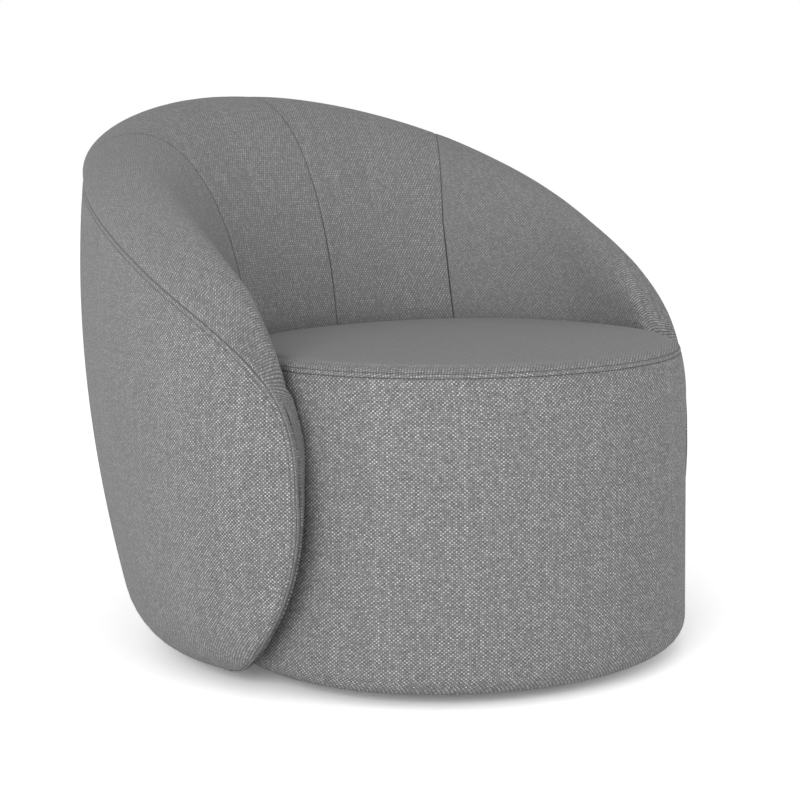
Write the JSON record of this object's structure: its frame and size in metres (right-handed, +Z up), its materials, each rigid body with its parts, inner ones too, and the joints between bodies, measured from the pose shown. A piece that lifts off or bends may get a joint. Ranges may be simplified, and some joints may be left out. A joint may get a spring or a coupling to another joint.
{
  "type": "swivel tub chair",
  "caption": "Round upholstered cuddle chair: a drum seat wrapped by one deep padded shell that sweeps down into two wings, on a hidden swivel plinth.",
  "frame": {"origin": "centre of the floor pad's underside, on the swivel axis, on the floor", "axes": "+Z up along the swivel axis; the sitter faces -Y; +X is on the sitter's left hand side"},
  "size_m": [0.9092, 0.9191, 0.7901],
  "materials": {
    "fabric_grey": "plain mid-grey woven upholstery cloth",
    "foam_cream": "polyurethane foam under wadding",
    "plywood": "sanded, unfinished",
    "hardboard": "smooth face",
    "steel": "zinc plated",
    "webbing": "elastic webbing",
    "felt": "dense felt",
    "lining_black": "non-woven dust cover"
  },
  "bodies": {
    "base": {"floor_pad": "felt", "plinth_disc": "plywood", "swivel_lower_plate": "steel", "lower_plate_bolt_1": "steel", "lower_plate_bolt_2": "steel", "lower_plate_bolt_3": "steel", "lower_plate_bolt_4": "steel", "ball_ring": "steel", "swivel_pin": "steel"},
    "turning_chair": {"chassis_board": "plywood", "swivel_upper_plate": "steel", "upper_plate_bolt_1": "steel", "upper_plate_bolt_2": "steel", "upper_plate_bolt_3": "steel", "upper_plate_bolt_4": "steel", "dust_cover": "lining_black", "seat_rail_rear": "plywood", "seat_rail_right": "plywood", "seat_rail_front": "plywood", "seat_rail_left": "plywood", "seat_post_1": "plywood", "seat_post_2": "plywood", "seat_post_3": "plywood", "seat_post_4": "plywood", "seat_post_5": "plywood", "seat_post_6": "plywood", "seat_strap_long_1": "webbing", "seat_strap_long_2": "webbing", "seat_strap_long_3": "webbing", "seat_strap_long_4": "webbing", "seat_strap_cross_1": "webbing", "seat_strap_cross_2": "webbing", "seat_strap_cross_3": "webbing", "drum_side_cover": "fabric_grey", "drum_side_foam": "foam_cream", "drum_wall": "hardboard", "seat_foam": "foam_cream", "seat_cover": "fabric_grey", "shell_outer_liner": "hardboard", "shell_inner_liner": "hardboard", "shell_top_rail": "plywood", "shell_rib_centre": "plywood", "shell_rib_left_1": "plywood", "shell_rib_right_1": "plywood", "shell_rib_left_2": "plywood", "shell_rib_right_2": "plywood", "shell_rib_left_3": "plywood", "shell_rib_right_3": "plywood", "shell_outside_cover": "fabric_grey", "shell_inside_cover_left_end": "fabric_grey", "shell_inside_cover_left_centre": "fabric_grey", "shell_inside_cover_right_centre": "fabric_grey", "shell_inside_cover_right_end": "fabric_grey", "shell_foam_left": "foam_cream", "shell_foam_back": "foam_cream", "shell_foam_right": "foam_cream"}
  },
  "joints": [
    {"name": "swivel", "type": "hinge", "parent": "base", "child": "turning_chair", "pos_m": [0, 0, 0.033], "axis": [0, 0, 1], "continuous": true}
  ]
}
